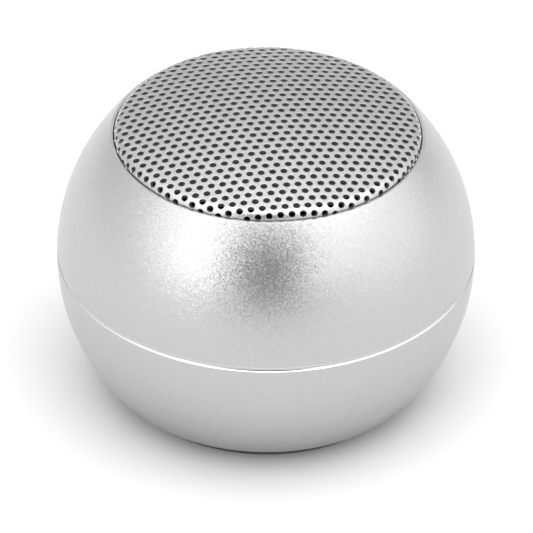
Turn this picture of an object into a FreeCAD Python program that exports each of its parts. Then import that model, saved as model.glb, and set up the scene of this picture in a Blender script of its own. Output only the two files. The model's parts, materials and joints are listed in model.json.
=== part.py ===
import FreeCAD, Part
import math
import os
import Sketcher
from FreeCAD import Placement, Rotation, Vector

# Small ball loudspeaker, as an assembly of its separate pieces.
# Units are millimetres. The origin is the centre of the face that the speaker stands on, +Z is up,
# the front is -Y, and the charging socket is at the back, +Y.

DIMENSIONS = {
    # the two spherical shells
    "shell_radius": 25.0,
    "shell_wall": 1.2,
    "centre_height": 17.5,
    "seam_height": 18.1,
    "seam_gap": 0.05,
    "groove_depth": 0.2,
    "groove_land": 0.1,
    "groove_rise_upper": 0.45,
    "groove_rise_lower": 0.25,
    "rim_height": 34.3,
    "rim_bore": 18.2,
    "lower_edge_height": 2.2,
    "seam_ring_reach": 2.0,
    "seam_ring_wall": 1.2,
    "shell_clearance": 0.08,
    # the grille, its seat and the cloth under it
    "grille_apex": 37.2,
    "grille_dome_radius": 78.0,
    "grille_radius": 18.1,
    "grille_roll": 1.2,
    "grille_sheet": 0.5,
    "hole_pitch": 1.33,
    "hole_radius": 0.4,
    "hole_field_radius": 16.5,
    "hole_row_angle": 8.5,
    "hole_shift_across": 0.24,
    "hole_shift_along": 0.39,
    "cloth_thickness": 0.2,
    "cloth_radius": 16.7,
    "seat_top": 32.4,
    "seat_thickness": 0.8,
    "seat_inner": 16.0,
    "seat_outer": 18.4,
    # the rubber foot and the base plate
    "foot_outer": 17.6,
    "foot_inner": 13.4,
    "foot_top": 2.5,
    "foot_edge": 0.4,
    "base_radius": 18.2,
    "base_thickness": 1.4,
    "column_circle": 16.8,
    "column_radius": 1.35,
    "boss_circle": 11.0,
    "boss_radius": 1.6,
    "screw_shank": 0.7,
    "screw_head": 1.2,
    "screw_head_depth": 0.8,
    "screw_length": 5.0,
    # the push button on the underside
    "button_radius": 4.5,
    "button_clearance": 0.08,
    "button_face": 0.9,
    "button_flange": 5.4,
    "button_flange_gap": 0.1,
    "button_flange_thickness": 0.6,
    "button_stem": 1.5,
    "stem_gap": 0.05,
    # the printed board and its push switch
    "board_underside": 8.2,
    "board_thickness": 0.8,
    "board_radius": 14.6,
    "board_tab_half": 9.5,
    "board_tab_reach": 19.0,
    "switch_side": 5.0,
    "switch_height": 1.4,
    "switch_lip": 0.4,
    "switch_roof": 0.25,
    "switch_room": 1.5,
    "plunger_radius": 1.1,
    "plunger_clearance": 0.05,
    "plunger_reach": 0.9,
    "plunger_inside": 0.35,
    "dome_radius": 1.4,
    "dome_height": 0.5,
    "dome_sheet": 0.1,
    # the charging socket and its frame
    "socket_width": 7.5,
    "socket_height": 2.5,
    "socket_depth": 5.3,
    "socket_face": 22.6,
    "socket_wall": 0.3,
    "tongue_width": 3.7,
    "tongue_thickness": 0.6,
    "tongue_length": 3.6,
    "port_width": 10.4,
    "port_height": 5.4,
    "port_wall": 0.8,
    "port_inner_end": 20.6,
    "pin_hole_offset": 8.0,
    "pin_hole_height": 9.7,
    "light_radius": 0.55,
    "mic_hole_radius": 0.4,
    "mic_boot_radius": 1.0,
    # the moulded inner frame and the cell on its shelf
    "frame_seat_inner": 17.4,
    "frame_seat_outer": 19.4,
    "frame_seat_thickness": 1.2,
    "shelf_height": 11.8,
    "shelf_thickness": 0.8,
    "shelf_radius": 17.0,
    "driver_slot_radius": 2.2,
    "cell_slot_radius": 1.9,
    "cell_length": 22.0,
    "cell_width": 19.0,
    "cell_thickness": 5.2,
    "cell_corner": 1.0,
    "pad_length": 14.0,
    "pad_width": 12.0,
    "lead_radius": 0.4,
    "lead_bend": 1.0,
    # the driver
    "flange_top": 31.3,
    "flange_thickness": 0.8,
    "flange_inner": 15.6,
    "flange_outer": 18.0,
    "basket_sheet": 0.8,
    "ledge_height": 27.2,
    "ledge_inner": 10.8,
    "ledge_outer": 12.6,
    "basket_floor": 25.8,
    "window_half": 3.6,
    "window_foot": 0.6,
    "window_head": 0.7,
    "cup_radius": 9.0,
    "cup_inner": 7.4,
    "cup_base": 20.4,
    "cup_floor": 1.4,
    "cup_top": 26.0,
    "magnet_radius": 5.8,
    "magnet_height": 2.4,
    "pole_radius": 6.1,
    "pole_height": 1.4,
    "former_inner": 6.35,
    "former_wall": 0.15,
    "former_base": 23.1,
    "former_top": 28.2,
    "winding_wall": 0.4,
    "winding_base": 23.4,
    "winding_height": 3.0,
    "cone_radius": 13.4,
    "cone_neck_height": 27.9,
    "cone_edge_height": 31.15,
    "cone_paper": 0.3,
    "cap_radius": 6.9,
    "cap_height": 1.7,
    "cap_paper": 0.25,
    "roll_radius": 1.3,
    "roll_outer": 15.75,
    "surround_outer": 16.6,
    "surround_sheet": 0.25,
    "spider_outer": 12.2,
    "spider_wave": 0.35,
    "spider_cloth": 0.25,
    "gasket_thickness": 0.3,
}

FRONT_BACK_PLANE = "XZ_Plane"
COLUMN_ANGLES = (30.0, 150.0, 270.0)
BOSS_ANGLES = (50.0, 130.0, 270.0)
SPIDER_WAVES = 5
BASKET_WINDOWS = 4
LEDGE_THINNING = 0.75
DRIVER_LEAD_ANGLE = 210.0
CELL_LEAD_ANGLE = -10.0
DRIVER_LEAD_START = 17.3
DRIVER_LEAD_WALL = 19.0
DRIVER_LEAD_KNEE = 15.0
DRIVER_LEAD_DROP = 15.5
DRIVER_SLOT_TOP = 13.4
DRIVER_LEAD_END = 12.4
CELL_LEAD_START = 11.4
CELL_TAB_HEIGHT = 15.2
CELL_LEAD_DROP = 13.6
CELL_LEAD_END = 11.9
HEADER_CIRCLE = 9.8
HEADER_SIDES = (3.4, 3.4, 2.2)
HEADER_MOUTH = 1.2
PASSIVE_SIDES = (1.0, 0.5, 0.5)
PASSIVE_ROWS = ((-8.2, -2.4, 7), (8.4, 2.2, 4))  # middle X, first Y, count
LEAD_HALF_SPACING = 0.7
PASSIVE_PITCH = 1.3
TAG_DROP = 1.7
TAG_SPACING = 1.6
STRIP_SIZE = (0.6, 6.0, 2.2)
TAG_SIZE = (0.3, 1.2, 0.8)

doc = FreeCAD.newDocument("BallSpeaker")
pieces = []


class Length:
    """A length that knows its number and the sheet expression that drives it."""

    def __init__(self, value, text):
        self.value = value
        self.text = text

    def __add__(self, other):
        other = as_length(other)
        return Length(self.value + other.value, f"({self.text} + {other.text})")

    def __sub__(self, other):
        other = as_length(other)
        return Length(self.value - other.value, f"({self.text} - {other.text})")

    def __mul__(self, other):
        other = as_length(other)
        return Length(self.value * other.value, f"({self.text} * {other.text})")

    def __truediv__(self, other):
        other = as_length(other)
        return Length(self.value / other.value, f"({self.text} / {other.text})")

    def __neg__(self):
        return Length(-self.value, f"(0 - {self.text})")


def as_length(number):
    """A plain number as a Length; a Length stays as it is."""
    if isinstance(number, Length):
        return number
    return Length(float(number), repr(float(number)))


def root(length):
    """The square root of a Length."""
    return Length(math.sqrt(length.value), f"sqrt({length.text})")


def make_sheet():
    """Put the driving dimensions in the spreadsheet and give them back as Lengths."""
    sheet = doc.addObject("Spreadsheet::Sheet", "Dims")
    lengths = {}
    for row, (alias, value) in enumerate(DIMENSIONS.items(), start=1):
        sheet.set(f"A{row}", alias)
        sheet.set(f"B{row}", str(value))
        sheet.setAlias(f"B{row}", alias)
        lengths[alias] = Length(value, f"Dims.{alias}")
    doc.recompute()
    return lengths


class Sizes:
    """The driving dimensions by name, as in size.shell_radius."""

    def __init__(self, lengths):
        self.__dict__.update(lengths)


size = Sizes(make_sheet())


# Helpers

def bind(thing, setting, length):
    """Drive one setting of a document object from the sheet."""
    thing.setExpression(setting, as_length(length).text)


def keep(thing, label):
    """Name a finished piece and put it on the list of pieces to write."""
    thing.Label = label
    pieces.append(thing)
    return thing


def origin_feature(body, role):
    """A body's own origin plane or axis, found by its role."""
    return next(item for item in body.Origin.OriginFeatures if item.Role == role)


def polar(radius, angle):
    """The X and Y of a point at a radius and an angle in degrees about the vertical axis."""
    turn = math.radians(angle)
    return radius * math.cos(turn), radius * math.sin(turn)


def arc_between(start, end, radius, bulge):
    """A circular arc between two sketch points. bulge is 1 to the left of start-to-end, -1 to the right."""
    middle = (start + end) * 0.5
    chord = end - start
    left = Vector(-chord.y, chord.x, 0).normalize()
    sagitta_leg = math.sqrt(radius * radius - (chord.Length / 2) ** 2)
    centre = middle - left * (sagitta_leg * bulge)
    first, last = (start, end) if bulge < 0 else (end, start)
    begin = math.atan2(first.y - centre.y, first.x - centre.x)
    finish = math.atan2(last.y - centre.y, last.x - centre.x)
    circle = Part.Circle(centre, Vector(0, 0, 1), radius)
    return Part.ArcOfCircle(circle, begin, finish)


class Arc:
    """A corner reached by an arc: its place, the arc's radius and the side it bulges to."""

    def __init__(self, across, up, radius, bulge):
        self.across = across
        self.up = up
        self.radius = radius
        self.bulge = bulge


def draw_outline(sketch, corners):
    """Draw a closed outline and tie every corner and arc radius to the sheet.

    A corner is a pair of lengths, or an Arc for a corner that an arc leads to.
    """
    places = []
    for corner in corners:
        pair = (corner.across, corner.up) if isinstance(corner, Arc) else corner
        places.append(tuple(as_length(value) for value in pair))
    points = [Vector(across.value, up.value, 0) for across, up in places]
    ends = []
    for index, corner in enumerate(corners):
        start, end = points[index - 1], points[index]
        if isinstance(corner, Arc):
            radius = as_length(corner.radius)
            edge = sketch.addGeometry(arc_between(start, end, radius.value, corner.bulge))
            ends.append((edge, 1, 2) if corner.bulge < 0 else (edge, 2, 1))
            rule = sketch.addConstraint(Sketcher.Constraint("Radius", edge, radius.value))
            sketch.setExpression(f"Constraints[{rule}]", radius.text)
        else:
            edge = sketch.addGeometry(Part.LineSegment(start, end))
            ends.append((edge, 1, 2))
    for index, (edge, _, finish) in enumerate(ends):
        following, begin, _ = ends[(index + 1) % len(ends)]
        sketch.addConstraint(Sketcher.Constraint("Coincident", edge, finish, following, begin))
        across, up = places[index]
        fix_point(sketch, edge, finish, across, up)


def fix_point(sketch, edge, point, across, up):
    """Hold one sketch point at its two lengths, or on an axis where a length is zero."""
    for kind, length, axis in (("DistanceX", across, -2), ("DistanceY", up, -1)):
        if length.value == 0:
            sketch.addConstraint(Sketcher.Constraint("PointOnObject", edge, point, axis))
        else:
            rule = sketch.addConstraint(Sketcher.Constraint(kind, -1, 1, edge, point, length.value))
            sketch.setExpression(f"Constraints[{rule}]", length.text)


def new_sketch(body, name, plane):
    """An empty sketch on one of the body's own origin planes."""
    sketch = body.newObject("Sketcher::SketchObject", name)
    sketch.AttachmentSupport = (origin_feature(body, plane), [""])
    sketch.MapMode = "FlatFace"
    return sketch


def turned(name, corners):
    """A body made by turning an outline of (radius, height) corners about the vertical axis."""
    body = doc.addObject("PartDesign::Body", name)
    sketch = new_sketch(body, f"{name}_outline", FRONT_BACK_PLANE)
    draw_outline(sketch, corners)
    turn = body.newObject("PartDesign::Revolution", f"{name}_turn")
    turn.Profile = sketch
    turn.ReferenceAxis = (origin_feature(body, "Z_Axis"), [""])
    turn.Angle = 360
    body.Tip = turn
    doc.recompute()
    return body


def bore_to_back(body, name, across, up, radius):
    """Cut a round hole through the back wall of a body, from its middle plane towards +Y."""
    before = body.Shape.Volume
    sketch = new_sketch(body, f"{name}_circle", FRONT_BACK_PLANE)
    place = Vector(across.value, up.value, 0)
    edge = sketch.addGeometry(Part.Circle(place, Vector(0, 0, 1), radius.value))
    rule = sketch.addConstraint(Sketcher.Constraint("Radius", edge, radius.value))
    sketch.setExpression(f"Constraints[{rule}]", radius.text)
    fix_point(sketch, edge, 3, across, up)
    cut_to_back(body, sketch, name, before)


def cut_to_back(body, sketch, name, volume_before):
    """Pocket a sketch towards +Y through everything and check that it removed something."""
    pocket = body.newObject("PartDesign::Pocket", f"{name}_pocket")
    pocket.Profile = sketch
    bind(pocket, "Length", size.shell_radius + size.shell_wall)
    body.Tip = pocket
    doc.recompute()
    if not body.Shape.Volume < volume_before:
        raise RuntimeError(f"{name} cut nothing")
    return pocket


def cylinder(name, radius, base, height, middle=(0, 0)):
    """An upright cylinder from a base height."""
    shape = doc.addObject("Part::Cylinder", name)
    bind(shape, "Radius", radius)
    bind(shape, "Height", height)
    bind(shape, "Placement.Base.x", middle[0])
    bind(shape, "Placement.Base.y", middle[1])
    bind(shape, "Placement.Base.z", base)
    return shape


def rod_to_back(name, radius, start, length, across, up):
    """A level cylinder that runs towards +Y."""
    shape = doc.addObject("Part::Cylinder", name)
    shape.Placement = Placement(Vector(), Rotation(Vector(1, 0, 0), -90))
    bind(shape, "Radius", radius)
    bind(shape, "Height", length)
    bind(shape, "Placement.Base.x", across)
    bind(shape, "Placement.Base.y", start)
    bind(shape, "Placement.Base.z", up)
    return shape


def block(name, sides, middle, base):
    """A box of three sides, centred on a middle X and Y, standing on a base height."""
    shape = doc.addObject("Part::Box", name)
    long, wide, tall = (as_length(side) for side in sides)
    bind(shape, "Length", long)
    bind(shape, "Width", wide)
    bind(shape, "Height", tall)
    bind(shape, "Placement.Base.x", as_length(middle[0]) - long / 2)
    bind(shape, "Placement.Base.y", as_length(middle[1]) - wide / 2)
    bind(shape, "Placement.Base.z", base)
    return shape


def joined(name, shapes):
    """Several shapes fused into one solid."""
    union = doc.addObject("Part::MultiFuse", name)
    union.Shapes = shapes
    return union


def cut(name, base, tool):
    """One shape with another taken away."""
    result = doc.addObject("Part::Cut", name)
    result.Base = base
    result.Tool = tool
    return result


def common(name, first, second):
    """What two shapes share."""
    result = doc.addObject("Part::MultiCommon", name)
    result.Shapes = [first, second]
    return result


def group(name, shapes):
    """Separate solids kept together as one piece."""
    result = doc.addObject("Part::Compound", name)
    result.Links = shapes
    return result


def rounded(name, base, radius):
    """A block with all its edges rounded."""
    doc.recompute()
    result = doc.addObject("Part::Fillet", name)
    result.Base = base
    amount = radius.value
    result.Edges = [(number, amount, amount) for number in range(1, len(base.Shape.Edges) + 1)]
    return result


def sphere_radius_at(radius, height):
    """The radius of a shell's sphere at a height above the floor."""
    rise = height - size.centre_height
    return root(radius * radius - rise * rise)


# Outer casing

inner_radius = size.shell_radius - size.shell_wall
groove_floor = sphere_radius_at(size.shell_radius, size.seam_height) - size.groove_depth


def make_upper_shell():
    """Spherical shell from the groove's upper flank to the flat rim, with a straight bore for the grille."""
    base = size.seam_height + size.seam_gap / 2
    flank_top = base + size.groove_rise_upper
    bore_foot = size.centre_height + root(inner_radius * inner_radius - size.rim_bore * size.rim_bore)
    corners = [
        (sphere_radius_at(size.shell_radius, flank_top), flank_top),
        (groove_floor, base),
        (sphere_radius_at(inner_radius, base), base),
        Arc(size.rim_bore, bore_foot, inner_radius, -1),
        (size.rim_bore, size.rim_height),
        (sphere_radius_at(size.shell_radius, size.rim_height), size.rim_height),
    ]
    corners[0] = Arc(*corners[0], size.shell_radius, 1)
    keep(turned("UpperShell", corners), "upper_shell")


def slot_bar(name, width, height, start, length):
    """A level bar with round ends in width, which runs towards +Y at the socket's height."""
    level = socket_middle()
    half = (width - height) / 2
    middle = doc.addObject("Part::Box", f"{name}_middle")
    bind(middle, "Length", half * 2)
    bind(middle, "Width", length)
    bind(middle, "Height", height)
    bind(middle, "Placement.Base.x", -half)
    bind(middle, "Placement.Base.y", start)
    bind(middle, "Placement.Base.z", level - height / 2)
    left = rod_to_back(f"{name}_left", height / 2, start, length, -half, level)
    right = rod_to_back(f"{name}_right", height / 2, start, length, half, level)
    return joined(name, [middle, left, right])


def socket_middle():
    """The height of the charging socket's middle."""
    return size.board_underside + size.board_thickness + size.socket_height / 2


def make_lower_shell():
    """Spherical shell from the groove's land down to the bottom opening, with the holes in its back."""
    top = size.seam_height - size.seam_gap / 2
    flank_top = top - size.groove_land
    flank_foot = flank_top - size.groove_rise_lower
    edge = size.lower_edge_height
    corners = [
        Arc(sphere_radius_at(size.shell_radius, flank_foot), flank_foot, size.shell_radius, -1),
        (groove_floor, flank_top),
        (groove_floor, top),
        (sphere_radius_at(inner_radius, top), top),
        Arc(sphere_radius_at(inner_radius, edge), edge, inner_radius, 1),
        (sphere_radius_at(size.shell_radius, edge), edge),
    ]
    body = turned("LowerShell", corners)
    bore_to_back(body, "LightHole", size.pin_hole_offset, size.pin_hole_height, size.light_radius)
    bore_to_back(body, "MicHole", -size.pin_hole_offset, size.pin_hole_height, size.mic_hole_radius)
    opening = slot_bar("PortCutter", size.port_width, size.port_height, size.port_inner_end,
                       size.shell_radius - size.port_inner_end + size.shell_wall)
    keep(cut("LowerShellOpen", body, opening), "lower_shell")


def make_seam_ring():
    """Ring that bridges the seam on the inside."""
    outer = sphere_radius_at(inner_radius, size.seam_height + size.seam_ring_reach) - size.shell_clearance
    inner = outer - size.seam_ring_wall
    low = size.seam_height - size.seam_ring_reach
    high = size.seam_height + size.seam_ring_reach
    keep(turned("SeamRing", [(inner, low), (outer, low), (outer, high), (inner, high)]), "seam_ring")


def make_grille_blank():
    """Domed sheet with its edge rolled down into a short skirt, before the holes are punched."""
    dome, roll, sheet = size.grille_dome_radius, size.grille_roll, size.grille_sheet
    dome_centre = size.grille_apex - dome
    roll_across = size.grille_radius - roll
    roll_up = root((dome - roll) * (dome - roll) - roll_across * roll_across)
    lean_across = roll_across / (dome - roll)
    lean_up = roll_up / (dome - roll)
    roll_centre = dome_centre + roll_up
    inner = size.grille_radius - sheet
    corners = [
        Arc(lean_across * dome, dome_centre + lean_up * dome, dome, 1),
        Arc(size.grille_radius, roll_centre, roll, 1),
        (size.grille_radius, size.seat_top),
        (inner, size.seat_top),
        (inner, roll_centre),
        Arc(lean_across * (dome - sheet), dome_centre + lean_up * (dome - sheet), roll - sheet, -1),
        Arc(as_length(0), size.grille_apex - sheet, dome - sheet, -1),
        (as_length(0), size.grille_apex),
    ]
    return turned("GrilleBlank", corners)


def hole_places():
    """The middles of the punched holes: a six-sided lattice, turned and shifted a little, inside the field."""
    pitch = size.hole_pitch.value
    limit = size.hole_field_radius.value
    turn = Rotation(Vector(0, 0, 1), size.hole_row_angle.value)
    shift = Vector(size.hole_shift_across.value, size.hole_shift_along.value, 0)
    reach = int(limit / (pitch * math.sin(math.radians(60)))) + 2
    places = []
    for row in range(-reach, reach + 1):
        for step in range(-2 * reach, 2 * reach + 1):
            across = (step + row / 2) * pitch
            along = row * pitch * math.sin(math.radians(60))
            place = turn.multVec(Vector(across, along, 0)) + shift
            if place.Length <= limit:
                places.append(place)
    return places


def make_speaker_grille():
    """The grille blank with its field of round holes."""
    blank = make_grille_blank()
    foot = Vector(0, 0, size.seat_top.value)
    height = size.grille_apex.value - size.seat_top.value + 1
    punches = [Part.makeCylinder(size.hole_radius.value, height, place + foot) for place in hole_places()]
    print("grille holes", len(punches))
    grille = doc.addObject("Part::Feature", "SpeakerGrille")
    grille.Shape = blank.Shape.cut(Part.makeCompound(punches))
    keep(grille, "speaker_grille")


def make_dust_cloth():
    """Acoustic cloth bonded to the underside of the grille."""
    outer = size.grille_dome_radius - size.grille_sheet
    inner = outer - size.cloth_thickness
    centre = size.grille_apex - size.grille_dome_radius
    reach = size.cloth_radius
    corners = [
        Arc(reach, centre + root(outer * outer - reach * reach), outer, 1),
        (reach, centre + root(inner * inner - reach * reach)),
        Arc(as_length(0), centre + inner, inner, -1),
        (as_length(0), centre + outer),
    ]
    keep(turned("DustCloth", corners), "dust_cloth")


def make_grille_seat():
    """Ring bonded in the upper shell, which the grille's skirt stands on."""
    low = size.seat_top - size.seat_thickness
    corners = [
        (size.seat_inner, low),
        (size.seat_outer, low),
        (size.seat_outer, size.seat_top),
        (size.seat_inner, size.seat_top),
    ]
    keep(turned("GrilleSeat", corners), "grille_seat")


# Foot, base plate and button

base_top = size.foot_top + size.base_thickness
board_top = size.board_underside + size.board_thickness
button_flange_foot = base_top + size.button_flange_gap
button_flange_top = button_flange_foot + size.button_flange_thickness
switch_foot = size.board_underside - size.switch_height
plunger_foot = switch_foot - size.plunger_reach


def make_foot_ring():
    """Rubber ring under the base plate, with eased edges where it meets the table."""
    ease = size.foot_edge
    corners = [
        (size.foot_inner + ease, as_length(0)),
        (size.foot_outer - ease, as_length(0)),
        Arc(size.foot_outer, ease, ease, -1),
        (size.foot_outer, size.foot_top),
        (size.foot_inner, size.foot_top),
        (size.foot_inner, ease),
    ]
    corners[0] = Arc(*corners[0], ease, -1)
    keep(turned("FootRing", corners), "foot_ring")


def screw_holes(name, circle, angles, radius, base, height):
    """Upright holes or posts spaced round a circle."""
    posts = []
    for number, angle in enumerate(angles, start=1):
        across, along = polar(1.0, angle)
        middle = (circle * across, circle * along)
        posts.append(cylinder(f"{name}{number}", radius, base, height, middle))
    return posts


def make_base_plate():
    """Moulded plate with the button's bore, the board's bosses and the recessed screw holes."""
    plate = cylinder("BaseDisc", size.base_radius, size.foot_top, size.base_thickness)
    bosses = screw_holes("Boss", size.boss_circle, BOSS_ANGLES, size.boss_radius,
                         base_top, size.board_underside - base_top)
    bore = cylinder("ButtonBore", size.button_radius + size.button_clearance,
                    size.foot_top, size.base_thickness)
    pilots = screw_holes("Pilot", size.boss_circle, BOSS_ANGLES, size.screw_shank,
                         board_top - size.screw_length, size.screw_length)
    recesses = screw_holes("Recess", size.column_circle, COLUMN_ANGLES, size.screw_head,
                           size.foot_top, size.screw_head_depth)
    passages = screw_holes("Passage", size.column_circle, COLUMN_ANGLES, size.screw_shank,
                           size.foot_top, size.base_thickness)
    solid = joined("BaseSolid", [plate] + bosses)
    holes = joined("BaseHoles", [bore] + pilots + recesses + passages)
    keep(cut("BasePlate", solid, holes), "base_plate")


def make_power_button():
    """Push button with a retaining flange above the base plate and a stem that meets the switch."""
    corners = [
        (size.button_radius, size.button_face),
        (size.button_radius, button_flange_foot),
        (size.button_flange, button_flange_foot),
        (size.button_flange, button_flange_top),
        (size.button_stem, button_flange_top),
        (size.button_stem, plunger_foot - size.stem_gap),
        (as_length(0), plunger_foot - size.stem_gap),
        (as_length(0), size.button_face),
    ]
    keep(turned("PowerButton", corners), "power_button")


def make_base_screws():
    """Screws from the recesses of the base plate up into the frame's columns."""
    heads = screw_holes("BaseHead", size.column_circle, COLUMN_ANGLES, size.screw_head,
                        size.foot_top, size.screw_head_depth)
    shanks = screw_holes("BaseShank", size.column_circle, COLUMN_ANGLES, size.screw_shank,
                         size.foot_top, size.screw_length)
    screws = [joined(f"BaseScrew{n}", pair) for n, pair in enumerate(map(list, zip(heads, shanks)), start=1)]
    keep(group("BaseScrews", screws), "base_screws")


# Inner frame and cell

frame_seat_foot = size.flange_top - size.flange_thickness - size.frame_seat_thickness


def make_inner_frame():
    """Moulded frame: a seat for the driver, three columns and a shelf for the cell."""
    seat_height = size.frame_seat_thickness
    seat = cut("FrameSeat", cylinder("SeatDisc", size.frame_seat_outer, frame_seat_foot, seat_height),
               cylinder("SeatHole", size.frame_seat_inner, frame_seat_foot, seat_height))
    columns = screw_holes("Column", size.column_circle, COLUMN_ANGLES, size.column_radius,
                          base_top, frame_seat_foot - base_top)
    shelf = cylinder("Shelf", size.shelf_radius, size.shelf_height, size.shelf_thickness)
    pilots = screw_holes("ColumnPilot", size.column_circle, COLUMN_ANGLES, size.screw_shank,
                         size.foot_top, size.screw_length)
    driver_slot = cylinder("DriverSlot", size.driver_slot_radius, size.shelf_height, size.shelf_thickness,
                           polar(DRIVER_LEAD_DROP, DRIVER_LEAD_ANGLE))
    cell_slot = cylinder("CellSlot", size.cell_slot_radius, size.shelf_height, size.shelf_thickness,
                         polar(CELL_LEAD_DROP, CELL_LEAD_ANGLE))
    solid = joined("FrameSolid", [seat, shelf] + columns)
    keep(cut("InnerFrame", solid, joined("FrameHoles", pilots + [driver_slot, cell_slot])), "inner_frame")


shelf_top = size.shelf_height + size.shelf_thickness


def make_cell():
    """Pouch cell on the shelf, and the foam pad that holds it down."""
    sides = (size.cell_length, size.cell_width, size.cell_thickness)
    blank = block("CellBlank", sides, (0, 0), shelf_top)
    keep(rounded("BatteryCell", blank, size.cell_corner), "battery_cell")
    pad_foot = shelf_top + size.cell_thickness
    sides = (size.pad_length, size.pad_width, size.cup_base - pad_foot)
    keep(block("BatteryPad", sides, (0, 0), pad_foot), "battery_pad")


# Printed board and what is on it

def make_main_board():
    """Round board with a square tab that reaches the back wall."""
    disc = cylinder("BoardDisc", size.board_radius, size.board_underside, size.board_thickness)
    sides = (size.board_tab_half * 2, size.board_tab_reach, size.board_thickness)
    tab = block("BoardTab", sides, (0, size.board_tab_reach / 2), size.board_underside)
    holes = screw_holes("BoardHole", size.boss_circle, BOSS_ANGLES, size.screw_shank,
                        size.board_underside, size.board_thickness)
    keep(cut("MainBoard", joined("BoardBlank", [disc, tab]), joined("BoardHoles", holes)), "main_board")


def make_board_screws():
    """Screws that hold the board on the base plate's bosses."""
    heads = screw_holes("BoardHead", size.boss_circle, BOSS_ANGLES, size.screw_head,
                        board_top, size.screw_head_depth)
    shanks = screw_holes("BoardShank", size.boss_circle, BOSS_ANGLES, size.screw_shank,
                         board_top - size.screw_length, size.screw_length)
    screws = [joined(f"BoardScrew{n}", pair) for n, pair in enumerate(map(list, zip(heads, shanks)), start=1)]
    keep(group("BoardScrews", screws), "board_screws")


def make_board_parts():
    """The parts soldered to the top of the board, as boxes of their catalogue sizes."""
    catalogue = {
        "board_chips": [((5.0, 5.0, 0.9), (-4.0, 1.0)), ((4.0, 4.0, 0.9), (4.5, -4.0)),
                        ((3.0, 3.0, 0.9), (4.0, 5.5))],
        "board_inductors": [((3.6, 3.6, 1.8), (4.8, 0.6)), ((3.0, 3.0, 1.5), (-2.0, -5.6))],
        "clock_crystal": [((3.2, 2.5, 0.8), (-4.2, 6.4))],
        "chip_antenna": [((2.0, 6.4, 0.8), (-12.0, 1.0))],
        "status_light": [((1.6, 0.8, 0.9), (size.pin_hole_offset, 18.2))],
        "microphone": [((2.8, 1.9, 1.1), (-size.pin_hole_offset, 18.0))],
        "speaker_header": [(HEADER_SIDES, polar(HEADER_CIRCLE, DRIVER_LEAD_ANGLE))],
        "battery_header": [(HEADER_SIDES, polar(HEADER_CIRCLE, CELL_LEAD_ANGLE))],
    }
    for label, parts in catalogue.items():
        solids = [block(f"{label}_{n}", sides, middle, board_top)
                  for n, (sides, middle) in enumerate(parts, start=1)]
        keep(solids[0] if len(solids) == 1 else group(f"{label}_group", solids), label)


def make_board_passives():
    """Rows of small capacitors and resistors beside the large chips."""
    solids = []
    for across, first, count in PASSIVE_ROWS:
        for number in range(count):
            middle = (across, first + number * PASSIVE_PITCH)
            solids.append(block(f"Passive{len(solids)}", PASSIVE_SIDES, middle, board_top))
    keep(group("BoardPassives", solids), "board_passives")


def make_switch():
    """Push switch under the board: body, snap dome and plunger."""
    opening = size.plunger_radius + size.plunger_clearance
    lip = size.switch_lip
    room_top = size.board_underside - size.switch_roof
    sides = (size.switch_side, size.switch_side, size.switch_height)
    outside = block("SwitchBlock", sides, (0, 0), switch_foot)
    bore = cylinder("SwitchBore", opening, switch_foot, lip)
    cavity = cylinder("SwitchRoom", size.switch_room, switch_foot + lip, room_top - switch_foot - lip)
    keep(cut("SwitchBody", outside, joined("SwitchHollow", [bore, cavity])), "switch_body")
    plunger_height = size.plunger_reach + size.plunger_inside
    keep(cylinder("SwitchPlunger", size.plunger_radius, plunger_foot, plunger_height), "switch_plunger")
    apex = plunger_foot + plunger_height + size.stem_gap
    edge = apex + size.dome_height
    reach, rise, sheet = size.dome_radius, size.dome_height, size.dome_sheet
    curve = (reach * reach + rise * rise) / (rise * 2)
    corners = [
        Arc(reach, edge, curve, -1),
        (reach, edge + sheet),
        Arc(as_length(0), apex + sheet, curve, 1),
        (as_length(0), apex),
    ]
    keep(turned("SwitchDome", corners), "switch_dome")


# Charging socket, status light and microphone opening

def make_socket():
    """Metal shell of the socket, open at the back, with its moulded tongue."""
    middle_y = size.socket_face - size.socket_depth / 2
    wall = size.socket_wall
    sides = (size.socket_width, size.socket_depth, size.socket_height)
    outside = block("SocketBlock", sides, (0, middle_y), board_top)
    room_depth = size.socket_depth - wall
    sides = (size.socket_width - wall * 2, room_depth, size.socket_height - wall * 2)
    room = block("SocketRoom", sides, (0, size.socket_face - room_depth / 2), board_top + wall)
    keep(cut("SocketShell", outside, room), "socket_shell")
    sides = (size.tongue_width, size.tongue_length, size.tongue_thickness)
    tongue_y = size.socket_face - room_depth + size.tongue_length / 2
    tongue_foot = socket_middle() - size.tongue_thickness / 2
    keep(block("SocketTongue", sides, (0, tongue_y), tongue_foot), "socket_tongue")


def make_port_bezel():
    """Moulded frame in the shell's slot, flush with the sphere outside."""
    depth = size.shell_radius - size.port_inner_end
    outside = slot_bar("BezelOutside", size.port_width, size.port_height, size.port_inner_end, depth)
    wall = size.port_wall * 2
    opening = slot_bar("BezelOpening", size.port_width - wall, size.port_height - wall,
                       size.port_inner_end, depth)
    ball = doc.addObject("Part::Sphere", "BezelBall")
    bind(ball, "Radius", size.shell_radius)
    bind(ball, "Placement.Base.z", size.centre_height)
    keep(cut("PortBezel", common("BezelFlush", outside, ball), opening), "port_bezel")


def back_wall_at(radius, across, up):
    """How far back a sphere's surface lies at a place across and up."""
    rise = up - size.centre_height
    return root(radius * radius - across * across - rise * rise)


def make_light_pipe():
    """Clear pin from the light on the board out through the back wall."""
    start = size.board_tab_reach - size.shell_clearance
    end = back_wall_at(size.shell_radius, size.pin_hole_offset, size.pin_hole_height)
    keep(rod_to_back("LightPipe", size.light_radius, start, end - start,
                     size.pin_hole_offset, size.pin_hole_height), "light_pipe")


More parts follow.
